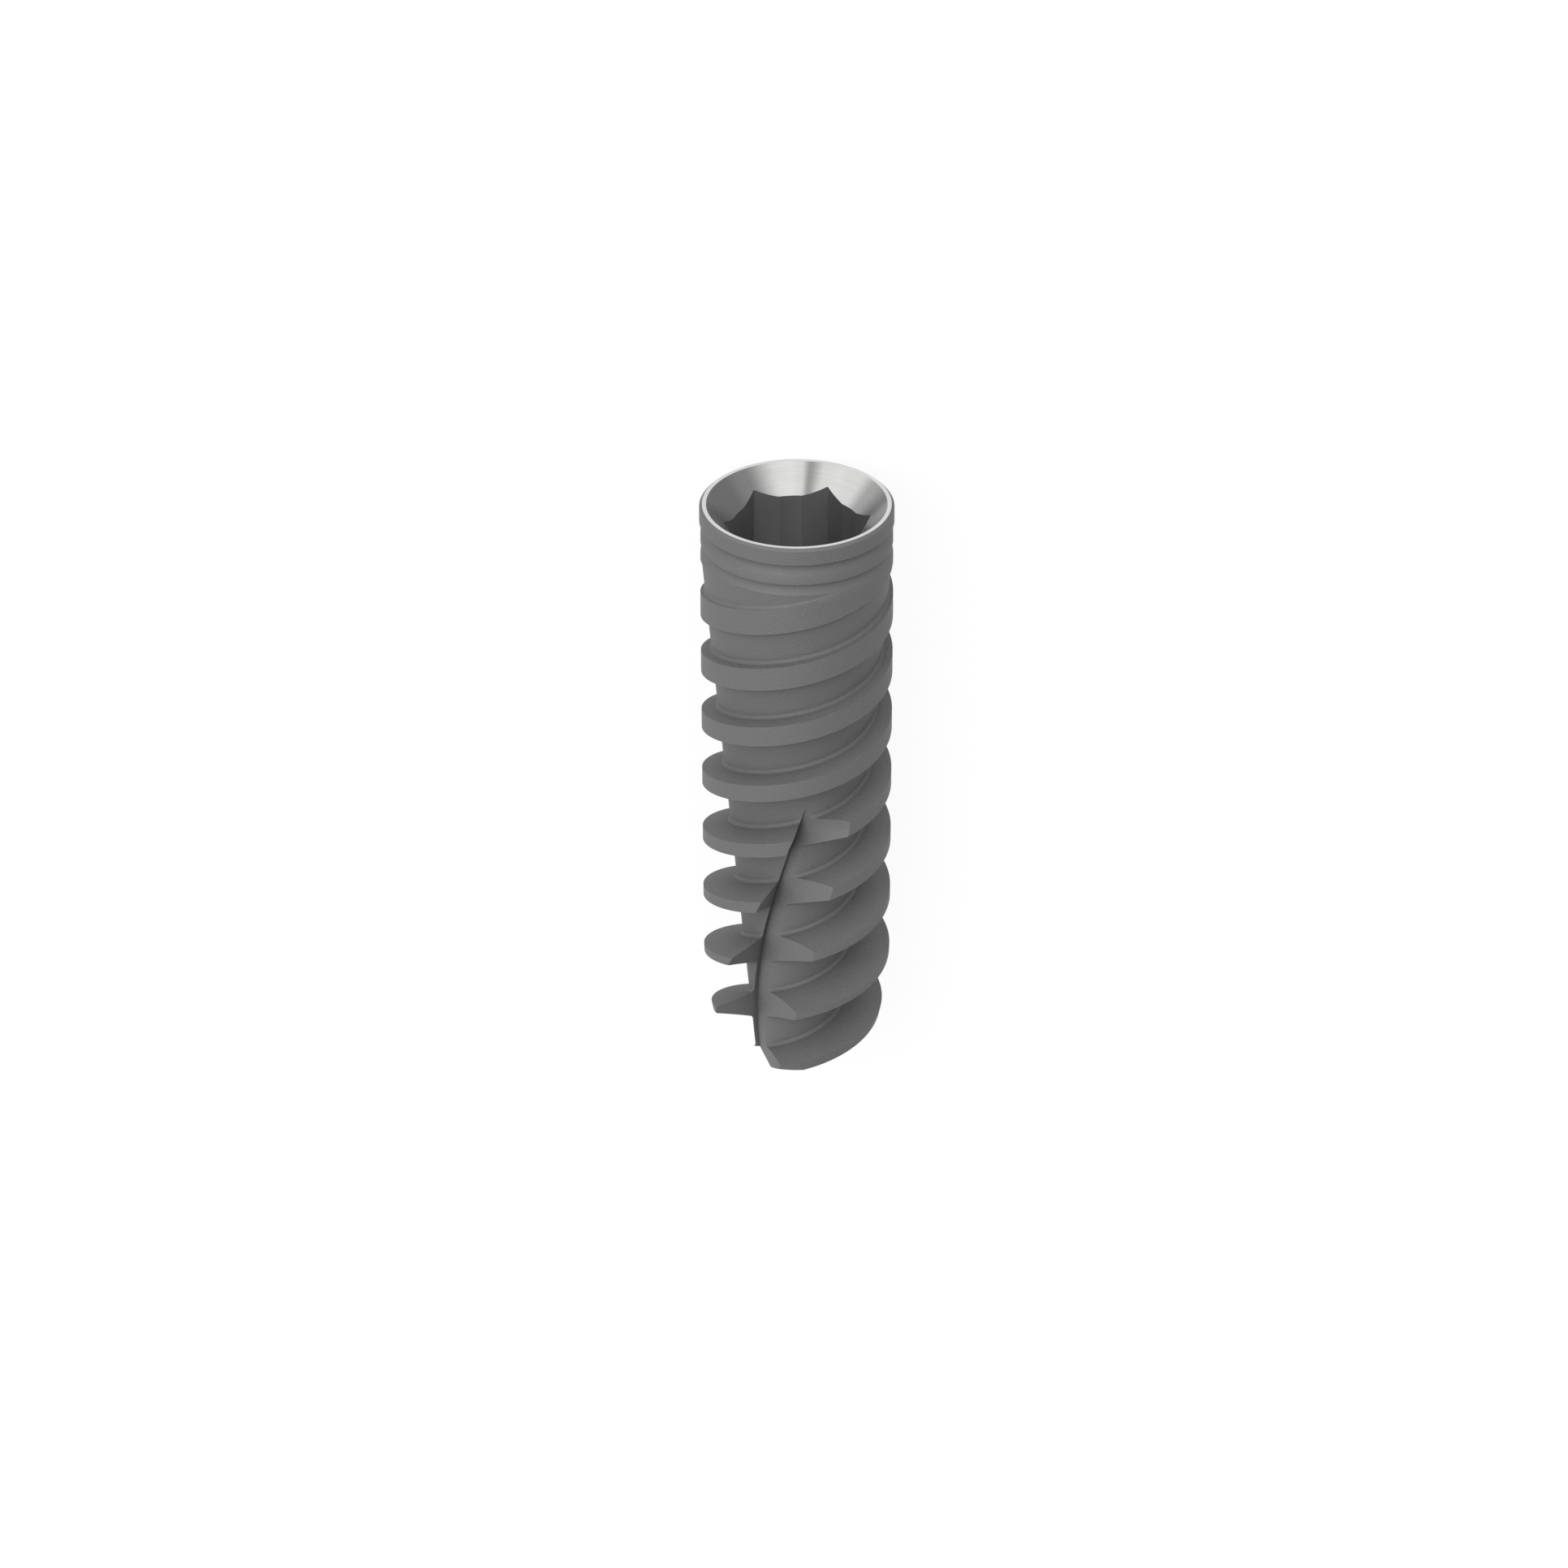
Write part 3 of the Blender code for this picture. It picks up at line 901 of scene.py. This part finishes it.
class ImplantMachine(bpy.types.Operator):
    """Machine the implant from its blank and give it its finish"""

    bl_idname = "implant.machine"
    bl_label = "Machine the implant"

    def execute(self, context):
        scene = context.scene
        blank = scene.implant_blank
        thread = scene.implant_thread
        socket = scene.implant_socket
        body = turned("implant", blank_profile(blank), blank.sides, math.pi / blank.sides)
        cut(body, "INTERSECT", outer_thread(blank, thread))
        for number in range(scene.implant_flutes.number):
            cut(body, "DIFFERENCE", flute(blank, thread, scene.implant_flutes, number))
        lead_in = turned("lead_in", socket_profile(blank, socket), socket.sides, 0.0)
        cut(body, "DIFFERENCE", lead_in)
        cut(body, "DIFFERENCE", hexagon(socket))
        cut(body, "DIFFERENCE", tap(socket))
        give_finish(body, blank, socket, scene.implant_finish)
        lay_down(body.data)
        body.data.shade_smooth()
        body.data.set_sharp_from_angle(angle=SHARP_ANGLE)
        shading = body.modifiers.new("even_shading", "WEIGHTED_NORMAL")
        shading.keep_sharp = True
        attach(body, "root")
        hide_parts("implant_body")
        return {"FINISHED"}


def table_material(studio):
    """A matt table, seen by the camera and in metal as white but for soft shadows."""
    material, start = new_material("table")
    matt = start.node("ShaderNodeBsdfDiffuse", {}, {"Color": studio.table[:]})
    rays = [
        start.node("ShaderNodeLightPath", {}, {}, ray)
        for ray in ("Is Camera Ray", "Is Glossy Ray", "Is Transmission Ray")
    ]
    seen = start.maths("MAXIMUM", start.maths("MAXIMUM", rays[0], rays[1]), rays[2])
    glow = {"Color": (1, 1, 1, 1), "Strength": studio.table_strength}
    white = start.node("ShaderNodeEmission", {}, glow)
    mix = start.node("ShaderNodeMixShader", {}, {0: seen * studio.table_white, 1: matt, 2: white})
    surface(start, mix)
    return material


def make_table(studio, lowest):
    """A wide round table with a raised edge, so that every view has it behind the implant."""
    curve = studio.table_edge / 2
    corner = (studio.table_radius - curve, curve)
    outline = [(0, 0)]
    outline += arc_points(corner, curve, -math.pi / 2, 0, segments=12)
    outline.append((studio.table_radius, studio.table_edge))
    profile = [(radius, -lowest - height) for radius, height in outline]
    table = turned("table", profile, sides=96, first_angle=0.0)
    table.data.shade_smooth()
    table.data.materials.append(table_material(studio))
    table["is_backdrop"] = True


def place_camera(studio):
    """Looks down on the implant, its platform towards the top of the picture."""
    sine = studio.view_sine
    cosine = math.sqrt(1 - sine * sine)
    away = Vector((sine, 0, cosine))
    up = Vector((cosine, 0, -sine))
    right = Vector((0, -1, 0))
    middle = (
        PLATFORM
        - right * (studio.platform_across - 0.5) * studio.frame_width
        + up * (studio.platform_down - 0.5) * studio.frame_width
    )
    camera = bpy.data.cameras.new("camera")
    camera.lens = camera.sensor_width * studio.camera_distance / studio.frame_width
    camera.clip_start = studio.camera_distance / 100
    camera.clip_end = studio.table_radius * 4
    obj = new_object("camera", camera)
    turn = Matrix((right, up, away)).transposed().to_4x4()
    obj.matrix_world = Matrix.Translation(middle + away * studio.camera_distance) @ turn
    bpy.context.scene.camera = obj


def place_key_lamp(studio):
    """A square lamp that faces the implant."""
    data = bpy.data.lights.new("key_lamp", "AREA")
    data.shape = "SQUARE"
    data.size = studio.key_size
    data.energy = studio.key_power
    lamp = new_object("key_lamp", data)
    away = Vector(studio.key_direction).normalized()
    lamp.location = away * studio.key_distance
    lamp.rotation_euler = away.to_track_quat("Z", "Y").to_euler()


def light_room(studio):
    """A grey room that is lighter above the platform and on the key lamp's side."""
    world = bpy.data.worlds.new("room")
    bpy.context.scene.world = world
    world.use_nodes = True
    world.node_tree.nodes.clear()
    start = Wire(world.node_tree)
    view = start.node("ShaderNodeTexCoord", {}, {}, "Generated")
    lightest = Vector(studio.room_direction).normalized()
    facing = start.node(
        "ShaderNodeVectorMath", {"operation": "DOT_PRODUCT"}, {0: view, 1: lightest}, "Value"
    )
    level = studio.room + studio.room * studio.room_slope * facing
    light = start.node("ShaderNodeBackground", {}, {"Color": (1, 1, 1, 1), "Strength": level})
    start.node("ShaderNodeOutputWorld", {}, {"Surface": light})


class ImplantStage(bpy.types.Operator):
    """Set the table, the camera, the lamp and the room round the implant"""

    bl_idname = "implant.stage"
    bl_label = "Set the stage"

    def execute(self, context):
        studio = context.scene.implant_studio
        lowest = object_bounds()[0][2]
        make_table(studio, lowest)
        place_camera(studio)
        place_key_lamp(studio)
        light_room(studio)
        context.scene.view_settings.view_transform = "Standard"
        return {"FINISHED"}


class ImplantPanel(bpy.types.Panel):
    """Sizes, finish and steps of the implant"""

    bl_idname = "VIEW3D_PT_implant"
    bl_label = "Dental Implant"
    bl_space_type = "VIEW_3D"
    bl_region_type = "UI"
    bl_category = "Implant"

    def draw(self, context):
        layout = self.layout
        for name in GROUPS:
            box = layout.box()
            group = getattr(context.scene, name)
            box.label(text=name.replace("_", " ").capitalize())
            for key in group.__annotations__:
                box.prop(group, key)
        for operator in (ImplantMachine, ImplantStage):
            layout.operator(operator.bl_idname)


GROUPS = {
    "implant_blank": ImplantBlank,
    "implant_thread": ImplantThread,
    "implant_flutes": ImplantFlutes,
    "implant_socket": ImplantSocket,
    "implant_finish": ImplantFinish,
    "implant_studio": ImplantStudio,
}
CLASSES = (*GROUPS.values(), ImplantMachine, ImplantStage, ImplantPanel)


def register():
    for made in CLASSES:
        bpy.utils.register_class(made)
    for name, group in GROUPS.items():
        setattr(bpy.types.Scene, name, bpy.props.PointerProperty(type=group))


def unregister():
    for name in GROUPS:
        delattr(bpy.types.Scene, name)
    for made in reversed(CLASSES):
        bpy.utils.unregister_class(made)


def main():
    register()
    bpy.ops.implant.machine()
    bpy.ops.implant.stage()


if __name__ == "__main__":
    main()
